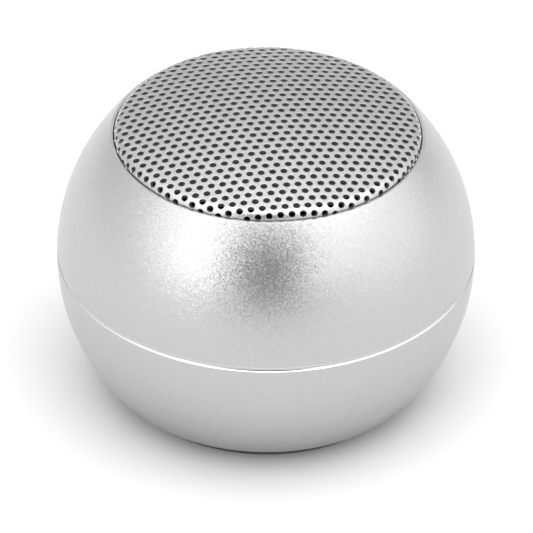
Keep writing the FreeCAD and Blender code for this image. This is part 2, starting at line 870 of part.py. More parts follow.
def make_mic_boot():
    """Rubber channel from the microphone to the pin hole in the back wall."""
    start = size.board_tab_reach + size.shell_clearance
    reach = size.pin_hole_offset + size.mic_boot_radius
    length = back_wall_at(inner_radius, reach, size.pin_hole_height - size.mic_boot_radius) - start
    across, up = -size.pin_hole_offset, size.pin_hole_height
    outside = rod_to_back("BootOutside", size.mic_boot_radius, start, length - size.shell_clearance,
                          across, up)
    channel = rod_to_back("BootChannel", size.mic_hole_radius, start, length, across, up)
    keep(cut("MicBoot", outside, channel), "mic_boot")


# Driver

flange_underside = size.flange_top - size.flange_thickness
cone_edge_top = size.cone_edge_height + size.cone_paper
former_outer = size.former_inner + size.former_wall


def make_driver_basket():
    """Pressed frame: flange, sloping wall with windows, ledge for the spider and floor round the cup."""
    sheet = size.basket_sheet
    ledge_sheet = sheet * LEDGE_THINNING
    floor_under = size.basket_floor - sheet
    corners = [
        (size.flange_outer, size.flange_top),
        (size.flange_outer, flange_underside),
        (size.flange_inner + sheet, flange_underside),
        (size.ledge_outer + ledge_sheet, size.ledge_height - ledge_sheet),
        (size.ledge_inner + sheet, size.ledge_height - ledge_sheet),
        (size.ledge_inner + sheet, floor_under),
        (size.cup_radius, floor_under),
        (size.cup_radius, size.basket_floor),
        (size.ledge_inner, size.basket_floor),
        (size.ledge_inner, size.ledge_height),
        (size.ledge_outer, size.ledge_height),
        (size.flange_inner, flange_underside + sheet * 0.5),
        (size.flange_inner, size.flange_top),
    ]
    body = turned("DriverBasket", corners)
    before = body.Shape.Volume
    sketch = new_sketch(body, "BasketWindow", FRONT_BACK_PLANE)
    half = size.window_half
    low, high = size.ledge_height + size.window_foot, flange_underside - size.window_head
    draw_outline(sketch, [(-half, low), (half, low), (half, high), (-half, high)])
    pocket = cut_to_back(body, sketch, "BasketWindow", before)
    one_window = body.Shape.Volume
    pattern = body.newObject("PartDesign::PolarPattern", "BasketWindows")
    pattern.Originals = [pocket]
    pattern.Axis = (origin_feature(body, "Z_Axis"), [""])
    pattern.Angle = 360
    pattern.Occurrences = BASKET_WINDOWS
    body.Tip = pattern
    doc.recompute()
    if not body.Shape.Volume < one_window:
        raise RuntimeError("the basket's window pattern cut nothing")
    keep(body, "driver_basket")


def ring(name, label, inner, outer, low, high):
    """A plain ring of square section, turned about the vertical axis."""
    keep(turned(name, [(inner, low), (outer, low), (outer, high), (inner, high)]), label)


def make_motor():
    """Soft-iron cup, magnet and pole plate."""
    floor_top = size.cup_base + size.cup_floor
    corners = [
        (as_length(0), size.cup_base),
        (size.cup_radius, size.cup_base),
        (size.cup_radius, size.cup_top),
        (size.cup_inner, size.cup_top),
        (size.cup_inner, floor_top),
        (as_length(0), floor_top),
    ]
    keep(turned("DriverYoke", corners), "driver_yoke")
    keep(cylinder("DriverMagnet", size.magnet_radius, floor_top, size.magnet_height), "driver_magnet")
    pole_foot = floor_top + size.magnet_height
    keep(cylinder("PolePlate", size.pole_radius, pole_foot, size.pole_height), "pole_plate")


def make_voice_coil():
    """Paper tube with its copper winding."""
    ring("VoiceFormer", "voice_former", size.former_inner, former_outer, size.former_base, size.former_top)
    ring("VoiceWinding", "voice_winding", former_outer, former_outer + size.winding_wall,
         size.winding_base, size.winding_base + size.winding_height)


def make_cone_and_cap():
    """Paper cone from the coil's tube to the surround, and the domed cap in its middle."""
    neck, edge, paper = size.cone_neck_height, size.cone_edge_height, size.cone_paper
    corners = [
        (former_outer, neck),
        (size.cone_radius, edge),
        (size.cone_radius, edge + paper),
        (former_outer, neck + paper),
    ]
    keep(turned("DriverCone", corners), "driver_cone")
    slope = (edge - neck) / (size.cone_radius - former_outer)
    foot = neck + paper + slope * (size.cap_radius - former_outer)
    reach, rise, sheet = size.cap_radius, size.cap_height, size.cap_paper
    curve = (reach * reach + rise * rise) / (rise * 2)
    inner = reach - sheet
    inner_curve = (inner * inner + (rise - sheet) * (rise - sheet)) / ((rise - sheet) * 2)
    corners = [
        Arc(reach, foot, curve, 1),
        (inner, foot),
        Arc(as_length(0), foot + rise - sheet, inner_curve, -1),
        (as_length(0), foot + rise),
    ]
    keep(turned("DustCap", corners), "dust_cap")


def make_surround():
    """Rubber half-roll between the cone's edge and the flange."""
    lip_top = size.flange_top + size.surround_sheet
    corners = [
        (size.cone_radius, cone_edge_top),
        Arc(size.roll_outer, lip_top, size.roll_radius, 1),
        (size.surround_outer, lip_top),
        (size.surround_outer, size.flange_top),
        (size.roll_outer, size.flange_top),
        Arc(size.cone_radius, size.cone_edge_height, size.roll_radius, -1),
    ]
    keep(turned("ConeSurround", corners), "cone_surround")


def make_spider():
    """Corrugated cloth ring from the coil's tube to the basket's ledge."""
    foot = size.ledge_height
    span = size.ledge_inner - former_outer
    lower, upper = [], []
    for number in range(SPIDER_WAVES * 2 + 1):
        across = former_outer + span * (number / (SPIDER_WAVES * 2))
        up = foot + size.spider_wave * (number % 2)
        lower.append((across, up))
        upper.append((across, up + size.spider_cloth))
    lower.append((size.spider_outer, foot))
    upper.append((size.spider_outer, foot + size.spider_cloth))
    keep(turned("ConeSpider", lower + upper[::-1]), "cone_spider")


def make_driver_gasket():
    """Foam ring between the flange and the grille's seat."""
    low = size.flange_top
    inner = size.surround_outer + size.shell_clearance
    ring("DriverGasket", "driver_gasket", inner, size.flange_outer, low, low + size.gasket_thickness)


def make_terminal_strip():
    """Fibre strip with two solder tags, under the flange beside the driver's leads."""
    face = size.flange_inner.value + size.basket_sheet.value
    strip = Part.makeBox(*STRIP_SIZE, Vector(face, -STRIP_SIZE[1] / 2, 0))
    tag_low = STRIP_SIZE[2] - TAG_DROP - TAG_SIZE[2] / 2
    tags = [Part.makeBox(*TAG_SIZE, Vector(face + STRIP_SIZE[0], side - TAG_SIZE[1] / 2, tag_low))
            for side in (-TAG_SPACING, TAG_SPACING)]
    piece = doc.addObject("Part::Feature", "TerminalStrip")
    piece.Shape = strip.fuse(tags)
    foot = flange_underside.value - STRIP_SIZE[2]
    piece.Placement = Placement(Vector(0, 0, foot), Rotation(Vector(0, 0, 1), DRIVER_LEAD_ANGLE))
    keep(piece, "terminal_strip")


# Leads

def bent_path(points, bend):
    """Straight runs through the points, joined by tangent arcs of one radius."""
    edges = []
    last = points[0]
    for before, corner, after in zip(points, points[1:], points[2:]):
        inward = (before - corner).normalize()
        outward = (after - corner).normalize()
        half_turn = inward.getAngle(outward) / 2
        back = bend / math.tan(half_turn)
        start, end = corner + inward * back, corner + outward * back
        middle_line = (inward + outward).normalize()
        centre = corner + middle_line * (bend / math.sin(half_turn))
        top = centre - middle_line * bend
        edges.append(Part.LineSegment(last, start).toShape())
        edges.append(Part.Arc(start, top, end).toShape())
        last = end
    edges.append(Part.LineSegment(last, points[-1]).toShape())
    return Part.Wire(edges)


def make_lead(label, route, angle, offset):
    """One insulated lead along a route of (radius, height) points at an angle, moved sideways by offset."""
    turn = Rotation(Vector(0, 0, 1), angle)
    points = [turn.multVec(Vector(out, offset, up)) for out, up in route]
    path = bent_path(points, size.lead_bend.value)
    section = Part.makeCircle(size.lead_radius.value, points[0], points[1] - points[0])
    piece = doc.addObject("Part::Feature", label)
    piece.Shape = path.makePipeShell([Part.Wire([section])], True, False)
    keep(piece, label)


def make_leads():
    """Red and black leads from the driver and from the cell to their headers on the board."""
    mouth = board_top.value + HEADER_MOUTH
    tag_height = flange_underside.value - TAG_DROP
    driver_route = [(DRIVER_LEAD_START, tag_height), (DRIVER_LEAD_WALL, tag_height),
                    (DRIVER_LEAD_WALL, DRIVER_LEAD_KNEE), (DRIVER_LEAD_DROP, DRIVER_SLOT_TOP),
                    (DRIVER_LEAD_DROP, mouth), (DRIVER_LEAD_END, mouth)]
    cell_route = [(CELL_LEAD_START, CELL_TAB_HEIGHT), (CELL_LEAD_DROP, CELL_TAB_HEIGHT),
                  (CELL_LEAD_DROP, mouth), (CELL_LEAD_END, mouth)]
    for colour, side in (("red", 1), ("black", -1)):
        offset = side * LEAD_HALF_SPACING
        make_lead(f"speaker_lead_{colour}", driver_route, DRIVER_LEAD_ANGLE, offset)
        make_lead(f"battery_lead_{colour}", cell_route, CELL_LEAD_ANGLE, offset)


def check_document():
    """Stop if any object failed, or any piece has no sound shape."""
    doc.recompute()
    for thing in doc.Objects:
        if "Invalid" in thing.State or "Error" in thing.State:
            raise RuntimeError(f"{thing.Name} failed: {thing.State}")
    for piece in pieces:
        if piece.Shape.isNull() or not piece.Shape.isValid():
            raise RuntimeError(f"{piece.Label} has no sound shape")


def write_pieces():
    """Write each piece to its own file."""
    os.makedirs("parts", exist_ok=True)
    for piece in pieces:
        piece.Shape.exportStep(f"parts/{piece.Label}.step")
        box = piece.Shape.BoundBox
        print(f"{piece.Label:20s} solids {len(piece.Shape.Solids):3d} volume {piece.Shape.Volume:9.2f}"
              f" height {box.ZMin:6.2f} to {box.ZMax:6.2f}")
    print("pieces", len(pieces))


make_upper_shell()
make_lower_shell()
make_seam_ring()
make_speaker_grille()
make_dust_cloth()
make_grille_seat()
make_foot_ring()
make_base_plate()
make_power_button()
make_base_screws()
make_inner_frame()
make_cell()
make_main_board()
make_board_screws()
make_board_parts()
make_board_passives()
make_switch()
make_socket()
make_port_bezel()
make_light_pipe()
make_mic_boot()
make_driver_basket()
make_motor()
make_voice_coil()
make_cone_and_cap()
make_surround()
make_spider()
make_driver_gasket()
make_terminal_strip()
make_leads()
check_document()
write_pieces()
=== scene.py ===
# %% [markdown]
# # A small ball loudspeaker
# This notebook dresses a machined ball speaker. The engineering model brings every real piece to its real
# place. Here the pieces that the eye lands on, the two turned shells, the punched grille and the rubber foot,
# are made again as fine meshes, and every other piece gets a finish of its own.

import json
import math

import bmesh
import bpy
from mathutils import Matrix, Vector


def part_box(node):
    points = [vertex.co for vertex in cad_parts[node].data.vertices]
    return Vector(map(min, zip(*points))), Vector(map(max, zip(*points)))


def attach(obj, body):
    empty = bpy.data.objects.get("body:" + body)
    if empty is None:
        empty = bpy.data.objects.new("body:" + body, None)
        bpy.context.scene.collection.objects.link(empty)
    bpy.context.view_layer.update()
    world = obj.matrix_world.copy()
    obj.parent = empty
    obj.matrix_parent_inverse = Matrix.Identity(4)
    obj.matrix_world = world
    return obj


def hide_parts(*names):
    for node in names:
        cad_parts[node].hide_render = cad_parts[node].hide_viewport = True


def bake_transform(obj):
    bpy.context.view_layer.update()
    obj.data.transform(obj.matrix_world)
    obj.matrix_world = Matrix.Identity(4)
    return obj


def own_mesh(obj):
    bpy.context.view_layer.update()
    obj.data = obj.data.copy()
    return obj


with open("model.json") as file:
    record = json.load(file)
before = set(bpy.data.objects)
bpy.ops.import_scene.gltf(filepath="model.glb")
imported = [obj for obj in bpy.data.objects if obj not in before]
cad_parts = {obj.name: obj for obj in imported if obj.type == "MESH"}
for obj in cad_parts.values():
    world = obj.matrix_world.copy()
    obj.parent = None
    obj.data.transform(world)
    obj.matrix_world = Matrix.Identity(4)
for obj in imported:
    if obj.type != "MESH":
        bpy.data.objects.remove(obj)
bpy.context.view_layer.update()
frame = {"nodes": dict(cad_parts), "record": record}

# %% [markdown]
# ## Sizes
# The shells are turned from one ball, so nearly everything follows from the ball's radius and the height of its
# middle. The engineering pieces say where each edge lies, and only the small roundings that a lathe leaves are
# new numbers.

# %% Sizes shared by several pieces
MM = 0.001
lower_low, lower_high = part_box("lower_shell")
upper_low, upper_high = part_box("upper_shell")
grille_low, grille_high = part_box("speaker_grille")
foot_low, foot_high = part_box("foot_ring")

ball_radius = 25.0 * MM
shell_wall = 1.2 * MM
ball_middle = 17.5 * MM
lower_edge = lower_low.z
rim_height = upper_high.z
parting = (lower_high.z + upper_low.z) / 2
print("ball radius", ball_radius, "widest measured", lower_high.x, "parting height", round(parting, 5))

# %% [markdown]
# ## Camera
# The speaker is seen from a little above a third of a right angle, through a long lens, which keeps the ball
# round. The camera leans by less than a degree, as a hand-levelled tripod does, and aims a little below the
# ball's middle, so that the ball sits high in the frame with its shadow under it.

# %% Camera
camera_rise = math.radians(35.3)
camera_lean = math.radians(0.85)
camera_distance = 525 * MM
aim_below = 1.98 * MM
aim_right = 0.06 * MM


def place_camera():
    """A long-lens camera in front of the ball, leaning slightly."""
    lens = bpy.data.cameras.new("studio_camera")
    lens.lens = 296
    lens.sensor_width = 36
    lens.clip_start = 0.01
    lens.clip_end = 10
    camera = bpy.data.objects.new("studio_camera", lens)
    bpy.context.scene.collection.objects.link(camera)
    back = Vector((0, -math.cos(camera_rise), math.sin(camera_rise)))
    right = Matrix.Rotation(camera_lean, 3, back) @ Vector((1, 0, 0))
    up = back.cross(right)
    middle = Vector((0, 0, ball_middle))
    place = middle + back * camera_distance - up * aim_below + right * aim_right
    turn = Matrix((right, up, back)).transposed().to_4x4()
    camera.matrix_world = Matrix.Translation(place) @ turn
    bpy.context.scene.camera = camera
    return camera


camera = place_camera()
print("camera at", [round(value, 4) for value in camera.location])

# %% [markdown]
# ## Studio
# Small shiny things are best lit in a tent of white cloth on a white table. The metal mirrors the whole
# tent, so what gives the ball its shape is what breaks the white: the dark mouth that the camera looks
# through, and the soft pools of light where lamps stand behind the cloth. Real cards and lamps could be built
# round the speaker, but the tent is far away and soft, so it is painted on the world: a base glow, a pool for
# each lamp, and darkness over the mouth and the tent's far end.

# %% White table
scene = bpy.context.scene
scene.view_settings.view_transform = "Standard"
scene.view_settings.look = "None"
table_reach = 3.0
paper_level = 0.7


def make_table():
    """A white table that reaches far behind the speaker."""
    mesh = bpy.data.meshes.new("table")
    corners = [(-table_reach, -table_reach, 0), (table_reach, -table_reach, 0),
               (table_reach, table_reach, 0), (-table_reach, table_reach, 0)]
    mesh.from_pydata(corners, [], [(0, 1, 2, 3)])
    table = bpy.data.objects.new("table", mesh)
    scene.collection.objects.link(table)
    paper = bpy.data.materials.new("white_paper")
    paper.use_nodes = True
    shader = paper.node_tree.nodes["Principled BSDF"]
    shader.inputs["Base Color"].default_value = (paper_level, paper_level, paper_level, 1)
    shader.inputs["Roughness"].default_value = 0.9
    shader.inputs["Specular IOR Level"].default_value = 0.1
    mesh.materials.append(paper)
    return table


make_table()
print("table laid at height 0")

# %% [markdown]
# ## Light tent
# Each pool of light or shade is a smooth spot on the world's sphere, found by the angle between the direction
# looked at and the spot's middle. Pools add up or take a share away, so the chain of nodes reads like a list of
# lamps. Sides are measured to the right of the camera, rises above the table.

# %% Light tent
base_glow = 1.12
lamps = {
    # lamp: side and rise in degrees, sharp and soft half-widths in degrees, glow
    "left_lamp": (-39, 22, 3, 9, 3.2),
    "left_cloth": (-48, 28, 18, 34, 0.7),
    "right_lamp": (25, 22, 3, 9, 3.4),
    "right_cloth": (42, 32, 4, 26, 0.15),
    "side_cloth": (80, 36, 30, 50, 0.5),
    "top_lamp": (0, 90, 14, 30, 1.6),
    "top_cloth": (0, 90, 30, 70, 0.7),
}
far_end = (180, 15, 1, 92, 0.34)
tent_mouth = (2, 26, 7, 29, 0.97)


def toward(side, rise):
    """A direction from the ball, by its angle to the right of the camera and its angle above the table."""
    across, up = math.radians(side), math.radians(rise)
    return (math.sin(across) * math.cos(up), -math.cos(across) * math.cos(up), math.sin(up))


class Tent:
    """The world's nodes, built up as a chain from the base glow."""

    def __init__(self, glow):
        world = bpy.data.worlds.new("light_tent")
        scene.world = world
        world.use_nodes = True
        self.nodes, self.links = world.node_tree.nodes, world.node_tree.links
        self.surround = self.nodes["Background"]
        self.surround.inputs["Color"].default_value = (1, 1, 1, 1)
        self.look = self.nodes.new("ShaderNodeTexCoord").outputs["Generated"]
        start = self.nodes.new("ShaderNodeValue")
        start.outputs[0].default_value = glow
        self.glow = start.outputs[0]

    def pool(self, side, rise, sharp, soft, edge_value, middle_value):
        """A round pool seen in one direction: one value outside, another inside, smooth between."""
        aim = self.nodes.new("ShaderNodeVectorMath")
        aim.operation = "DOT_PRODUCT"
        self.links.new(self.look, aim.inputs[0])
        aim.inputs[1].default_value = toward(side, rise)
        fall = self.nodes.new("ShaderNodeMapRange")
        fall.interpolation_type = "SMOOTHSTEP"
        self.links.new(aim.outputs["Value"], fall.inputs["Value"])
        fall.inputs["From Min"].default_value = math.cos(math.radians(soft))
        fall.inputs["From Max"].default_value = math.cos(math.radians(sharp))
        fall.inputs["To Min"].default_value = edge_value
        fall.inputs["To Max"].default_value = middle_value
        return fall.outputs["Result"]

    def combine(self, operation, value):
        """Add or multiply one more field into the glow."""
        step = self.nodes.new("ShaderNodeMath")
        step.operation = operation
        self.links.new(self.glow, step.inputs[0])
        self.links.new(value, step.inputs[1])
        self.glow = step.outputs[0]

    def light(self, side, rise, sharp, soft, glow):
        """A lamp behind the cloth."""
        self.combine("ADD", self.pool(side, rise, sharp, soft, 0, glow))

    def shade(self, side, rise, sharp, soft, share):
        """A dark part that takes away a share of the glow."""
        self.combine("MULTIPLY", self.pool(side, rise, sharp, soft, 1, 1 - share))

    def close(self):
        """Use the glow, but show plain white straight to the camera."""
        path = self.nodes.new("ShaderNodeLightPath")
        pick = self.nodes.new("ShaderNodeMix")
        self.links.new(path.outputs["Is Camera Ray"], pick.inputs["Factor"])
        self.links.new(self.glow, pick.inputs["A"])
        pick.inputs["B"].default_value = 1.2
        self.links.new(pick.outputs["Result"], self.surround.inputs["Strength"])


tent = Tent(base_glow)
for lamp in lamps.values():
    tent.light(*lamp)
tent.shade(*far_end)
tent.shade(*tent_mouth)
tent.close()
print("lamps behind the tent:", list(lamps))

# %% [markdown]
# ## Turning on a lathe
# The shells, the foot and the button are all turned: one outline swept once round the upright axis. A mesh made
# this way from many steps is as smooth as the real one, and its edges are sharp only where the outline turns
# sharply. Small arcs at the outline's corners stand for the roundings that a cutting tool leaves.

# %% Lathe helpers


def arc(middle_out, middle_up, radius, start, end, steps):
    """Points (out, up) along an arc, with its angles in degrees measured up from the outward direction."""
    points = []
    for step in range(steps + 1):
        angle = math.radians(start + (end - start) * step / steps)
        points.append((middle_out + radius * math.cos(angle), middle_up + radius * math.sin(angle)))
    return points


def eased(outline, radii, steps=4):
    """The outline with the corners named in radii (corner number to radius) rounded."""
    result = []
    for number, corner in enumerate(outline):
        if number not in radii:
            result.append(corner)
            continue
        here = Vector(corner)
        before = (Vector(outline[number - 1]) - here).normalized()
        after = (Vector(outline[(number + 1) % len(outline)]) - here).normalized()
        half = before.angle(after) / 2
        back = radii[number] / math.tan(half)
        middle = here + (before + after).normalized() * (radii[number] / math.sin(half))
        first, last = here + before * back - middle, here + after * back - middle
        turn = first.angle_signed(last)
        for step in range(steps + 1):
            result.append(tuple(middle + Matrix.Rotation(-turn * step / steps, 2) @ first))
    return result


def turned(name, outline, steps=288, sharp=28):
    """A closed solid from a closed outline of (out, up) points, swept round the upright axis."""
    mesh = bpy.data.meshes.new(name)
    points, faces, rings = [], [], []
    for out, up in outline:
        if out < 1e-7:
            rings.append([len(points)])
            points.append((0, 0, up))
            continue
        rings.append(list(range(len(points), len(points) + steps)))
        for step in range(steps):
            angle = 2 * math.pi * step / steps
            points.append((out * math.cos(angle), out * math.sin(angle), up))
    for ring, following in zip(rings, rings[1:] + rings[:1]):
        for step in range(steps):
            after = (step + 1) % steps
            if len(ring) == 1 and len(following) == 1:
                break
            if len(ring) == 1:
                faces.append((ring[0], following[after], following[step]))
            elif len(following) == 1:
                faces.append((ring[step], ring[after], following[0]))
            else:
                faces.append((ring[step], ring[after], following[after], following[step]))
    mesh.from_pydata(points, [], faces)
    finish_mesh(mesh, sharp)
    piece = bpy.data.objects.new(name, mesh)
    scene.collection.objects.link(piece)
    return piece


def finish_mesh(mesh, sharp):
    """Face outwards, shade smoothly and keep edges that turn by more than an angle sharp."""
    work = bmesh.new()
    work.from_mesh(mesh)
    bmesh.ops.recalc_face_normals(work, faces=work.faces)
    work.to_mesh(mesh)
    work.free()
    mesh.polygons.foreach_set("use_smooth", [True] * len(mesh.polygons))
    mesh.set_sharp_from_angle(angle=math.radians(sharp))
    mesh.update()


print("a quarter arc of 10 has its middle at", [round(part, 2) for part in arc(0, 0, 10, 0, 90, 2)[1]])

# %% [markdown]
# ## Finishes
# Every finish starts from the same shader and adds what that finish really has: a colour that wanders a little,
# a roughness that isn't the same all over, and a skin that is raised and lowered by a fine field. Random fields
# could be painted as pictures, but fields worked out from the place in space need no unwrapping and have no
# seams, so they are used for every piece.

# %% Finish helpers


class Finish:
    """A node material under construction."""

    def __init__(self, name):
        self.material = bpy.data.materials.new(name)
        self.material.use_nodes = True
        self.nodes = self.material.node_tree.nodes
        self.links = self.material.node_tree.links
        self.shader = self.nodes["Principled BSDF"]
        self.place = self.nodes.new("ShaderNodeTexCoord").outputs["Object"]

    def set(self, **values):
        """Fixed values on the shader's own sockets. Underscores stand for spaces."""
        for key, value in values.items():
            self.shader.inputs[key.replace("_", " ")].default_value = value
        return self

    def add(self, kind, **settings):
        """A new node with its settings."""
        node = self.nodes.new(kind)
        for key, value in settings.items():
            setattr(node, key, value)
        return node

    def join(self, source, target):
        """Link an output to an input."""
        self.links.new(source, target)

    def noise(self, per_mm, detail=2.0, roughness=0.5, stretch=None):
        """A soft random field with so many waves to the millimetre."""
        node = self.add("ShaderNodeTexNoise")
        node.inputs["Scale"].default_value = per_mm / MM
        node.inputs["Detail"].default_value = detail
        node.inputs["Roughness"].default_value = roughness
        self.join(self.stretched(stretch), node.inputs["Vector"])
        return node.outputs["Fac"]

    def stretched(self, stretch):
        """The place in space, squeezed by three factors."""
        if stretch is None:
            return self.place
        node = self.add("ShaderNodeVectorMath", operation="MULTIPLY")
        self.join(self.place, node.inputs[0])
        node.inputs[1].default_value = stretch
        return node.outputs[0]

    def spread(self, value, low, high, from_low=0.3, from_high=0.7):
        """A field mapped to a range."""
        node = self.add("ShaderNodeMapRange")
        self.join(value, node.inputs["Value"])
        node.inputs["From Min"].default_value = from_low
        node.inputs["From Max"].default_value = from_high
        node.inputs["To Min"].default_value = low
        node.inputs["To Max"].default_value = high
        return node.outputs["Result"]

    def shade(self, value, dark, light):
        """Colour the surface between two greys or colours by a field."""
        node = self.add("ShaderNodeMix", data_type="RGBA")
        self.join(value, node.inputs["Factor"])
        node.inputs["A"].default_value = (*dark, 1)
        node.inputs["B"].default_value = (*light, 1)
        self.join(node.outputs["Result"], self.shader.inputs["Base Color"])

    def bump(self, height, depth_mm, after=None):
        """Raise the surface by a field, to a depth in millimetres."""
        node = self.add("ShaderNodeBump")
        node.inputs["Distance"].default_value = depth_mm * MM
        node.inputs["Strength"].default_value = 1
        self.join(height, node.inputs["Height"])
        if after is not None:
            self.join(after, node.inputs["Normal"])
        self.join(node.outputs["Normal"], self.shader.inputs["Normal"])
        return node.outputs["Normal"]


def grey(level):
    """A neutral colour."""
    return (level, level, level)


print("a middling grey:", grey(0.5))

# %% [markdown]
# ## Blasted, cut and punched aluminium
# The shells are blasted with fine beads and then anodised, which leaves tiny dents, each tilted its own way, so
# the metal sparkles where a lamp meets a shadow. A few dents lie much steeper than the rest, which is why the
# random tilt is cubed. The groove between the shells is cut bright after blasting. A punch leaves a hole's wall
# smooth at its mouth and torn below. The torn part and the sheet's underside have a finish of their own: rough,
# and painted dark as the shade inside the holes.

# %% Blasted, cut and punched aluminium
dents_per_mm = 11
steepest_tilt = 0.32


def dented_normal(finish):
    """Give each dent of a random field its own small tilt, with few dents steep."""
    cells = finish.add("ShaderNodeTexVoronoi", feature="F1")
    cells.inputs["Scale"].default_value = dents_per_mm / MM
    finish.join(finish.place, cells.inputs["Vector"])
    centred = finish.add("ShaderNodeVectorMath", operation="SUBTRACT")
    finish.join(cells.outputs["Color"], centred.inputs[0])
    centred.inputs[1].default_value = (0.5, 0.5, 0.5)
    squared = finish.add("ShaderNodeVectorMath", operation="MULTIPLY")
    finish.join(centred.outputs[0], squared.inputs[0])
    finish.join(centred.outputs[0], squared.inputs[1])
    cubed = finish.add("ShaderNodeVectorMath", operation="MULTIPLY")
    finish.join(squared.outputs[0], cubed.inputs[0])
    finish.join(centred.outputs[0], cubed.inputs[1])
    tilted = finish.add("ShaderNodeVectorMath", operation="SCALE")
    finish.join(cubed.outputs[0], tilted.inputs[0])
    tilted.inputs["Scale"].default_value = 4 * steepest_tilt
    surface = finish.add("ShaderNodeNewGeometry").outputs["Normal"]
    total = finish.add("ShaderNodeVectorMath", operation="ADD")
    finish.join(surface, total.inputs[0])
    finish.join(tilted.outputs[0], total.inputs[1])
    unit = finish.add("ShaderNodeVectorMath", operation="NORMALIZE")
    finish.join(total.outputs[0], unit.inputs[0])
    finish.join(unit.outputs[0], finish.shader.inputs["Normal"])


def blasted_aluminium(name, level, roughness):
    """Anodised aluminium with a fine bead-blasted skin."""
    finish = Finish(name).set(Metallic=1.0)
    finish.shade(finish.spread(finish.noise(2.5, 4), 0, 1), grey(level - 0.015), grey(level + 0.015))
    finish.join(finish.spread(finish.noise(6, 3), roughness - 0.02, roughness + 0.02),
                finish.shader.inputs["Roughness"])
    dented_normal(finish)
    return finish.material


shell_metal = blasted_aluminium("blasted_aluminium", 0.5, 0.32)
grille_metal = blasted_aluminium("satin_aluminium", 0.51, 0.32)


def cut_aluminium():
    """The bright facet that a diamond tool leaves, with faint turning lines."""
    finish = Finish("cut_aluminium").set(Metallic=1.0)
    lines = finish.noise(1.0, 2, 0.5, stretch=(0.02, 0.02, 60))
    finish.shade(lines, grey(0.56), grey(0.62))
    finish.join(finish.spread(lines, 0.1, 0.14), finish.shader.inputs["Roughness"])
    return finish.material


edge_metal = cut_aluminium()


def torn_aluminium_painted_shade():
    """The torn lower wall of a punched hole, below its burnished mouth, and the sheet's underside, painted dark
    as shade.
    """
    finish = Finish("torn_aluminium_painted_shade").set(Metallic=0.4)
    tears = finish.noise(30, 4, 0.6, stretch=(1, 1, 0.15))
    # painted shade: these dark greys stand for the shade down inside the holes and under the sheet
    finish.shade(finish.spread(tears, 0, 1), grey(0.1), grey(0.24))
    finish.join(finish.spread(tears, 0.4, 0.62), finish.shader.inputs["Roughness"])
    finish.bump(tears, 0.01)
    return finish.material


punched_wall_painted_shade = torn_aluminium_painted_shade()
print("aluminium finishes:", shell_metal.name, grille_metal.name, edge_metal.name, punched_wall_painted_shade.name)

# %% [markdown]
# ## The two shells
# The upper and lower shells meet in a shallow groove that is cut bright after blasting. Its floor is upright and
# split by the parting line, and its lower side is a small cove, which catches light from above. Each shell is
# turned with its own half of the groove, and those faces take the bright finish.

# %% Turn the shells
groove_depth = 0.18 * MM
cove_radius = 0.26 * MM
land_rise = 0.30 * MM
flank_rise = 0.36 * MM
cove_drop = 0.28 * MM
tool_radius = 0.02 * MM
shell_gap = 0.015 * MM
rim_bore = 18.2 * MM


def ball_out(radius, height):
    """How far out the ball's surface lies at a height."""
    return math.sqrt(radius ** 2 - (height - ball_middle) ** 2)


def rise_angle(radius, height):
    """The angle in degrees, seen from the ball's middle, of the ball's surface at a height."""
    return math.degrees(math.asin((height - ball_middle) / radius))


def upper_outline():
    """Bright groove floor, blasted ball, flat rim, straight bore, and the inside back down to the parting."""
    inner = ball_radius - shell_wall
    foot = parting + shell_gap
    flank_top = parting + flank_rise
    flank_out = ball_out(ball_radius, flank_top)
    bore_foot = ball_middle + math.sqrt(inner ** 2 - rim_bore ** 2)
    outside = arc(0, ball_middle, ball_radius, rise_angle(ball_radius, flank_top),
                  rise_angle(ball_radius, rim_height), 110)
    inside = arc(0, ball_middle, inner, rise_angle(inner, bore_foot), rise_angle(inner, foot), 60)
    floor_out = flank_out - groove_depth
    groove = [(floor_out, foot), (floor_out, parting + land_rise)]
    outline = groove + outside + [(rim_bore, rim_height)] + inside
    rim_corner = len(groove) + len(outside) - 1
    return eased(outline, {1: tool_radius, 2: tool_radius, rim_corner: 0.05 * MM, rim_corner + 1: 0.04 * MM})


def lower_outline():
    """Bright cove at the top, blasted ball, bottom edge, and the inside back up."""
    inner = ball_radius - shell_wall
    top = parting - shell_gap
    flank_foot = parting - cove_drop
    flank_out = ball_out(ball_radius, flank_foot)
    outside = arc(0, ball_middle, ball_radius, rise_angle(ball_radius, flank_foot),
                  rise_angle(ball_radius, lower_edge), 110)
    inside = arc(0, ball_middle, inner, rise_angle(inner, lower_edge), rise_angle(inner, top), 70)
    floor_out = ball_out(ball_radius, parting + flank_rise) - groove_depth
    cove = arc(floor_out + cove_radius, top, cove_radius, 180, 240, 10)
    outline = cove + outside + inside
    edge_corner = len(cove) + len(outside) - 1
    return eased(outline, {len(cove): tool_radius, edge_corner: 0.12 * MM, edge_corner + 1: 0.08 * MM})


def cut_faces_bright(piece, low, high, least_out):
    """Give the bright finish to the faces between two heights on the outside."""
    piece.data.materials.append(edge_metal)
    for face in piece.data.polygons:
        middle = face.center
        if low < middle.z < high and math.hypot(middle.x, middle.y) > least_out:
            face.material_index = 1


upper_shell = turned("upper_shell_turned", upper_outline(), 384)
upper_shell.data.materials.append(shell_metal)
cut_faces_bright(upper_shell, parting, parting + flank_rise - tool_radius, ball_radius - 2 * groove_depth)
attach(upper_shell, "housing")
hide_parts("upper_shell")
print("upper shell faces", len(upper_shell.data.polygons))

lower_shell = turned("lower_shell_turned", lower_outline(), 384)
lower_shell.data.materials.append(shell_metal)
cut_faces_bright(lower_shell, parting - cove_drop + tool_radius, parting, ball_radius - 2 * groove_depth)
print("lower shell faces", len(lower_shell.data.polygons))

# %% [markdown]
# ## Openings at the back
# The lower shell is opened for the charging socket, the status light and the microphone. These holes don't run
# round the axis, so the lathe can't make them. They are milled and drilled on the real shell, and here a
# boolean cut takes straight punches away from the wall.

# %% Open the back of the lower shell


